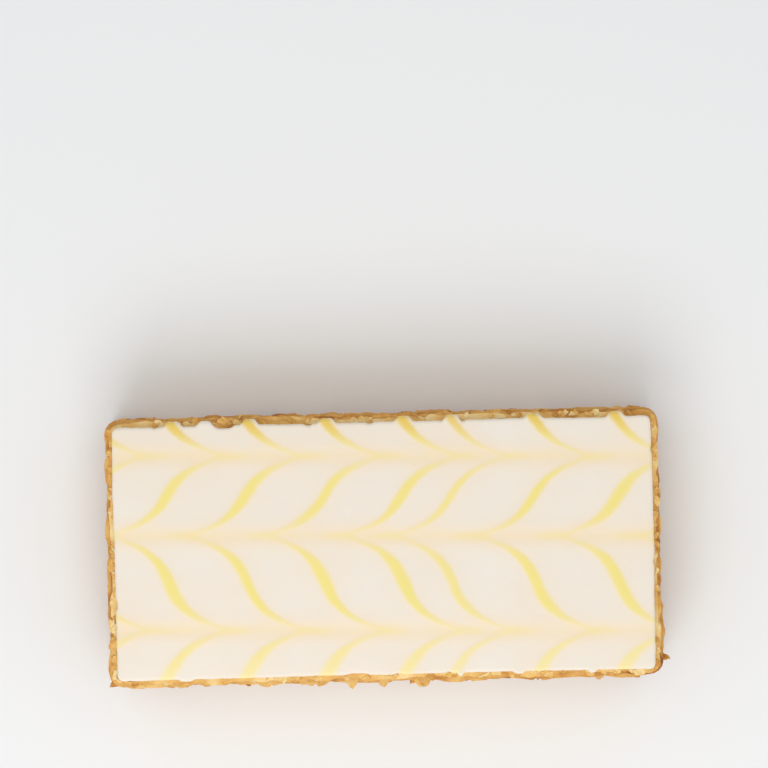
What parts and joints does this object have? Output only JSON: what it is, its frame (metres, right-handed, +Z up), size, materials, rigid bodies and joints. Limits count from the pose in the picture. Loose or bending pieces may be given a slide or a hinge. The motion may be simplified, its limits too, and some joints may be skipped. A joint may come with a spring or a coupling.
{
  "type": "mille feuille slice",
  "caption": "Oblong slice of flaky pastry sheets with a vanilla custard layer between them and feathered fondant icing on top.",
  "frame": {"origin": "middle of the slice, on the surface that it rests on", "axes": "+X along the slice, +Y across it, +Z up through the layers to the icing"},
  "size_m": [0.1142, 0.056, 0.0273],
  "materials": {
    "pastry": "baked flaky pastry, golden brown, dry and slightly buttery",
    "custard": "set vanilla custard, cut face, moist satin",
    "icing": "cream fondant feathered with pale yellow lines, satin"
  },
  "bodies": {
    "root": {"pastry_base": "pastry", "custard": "custard", "pastry_lid": "pastry", "icing": "icing"}
  },
  "joints": []
}
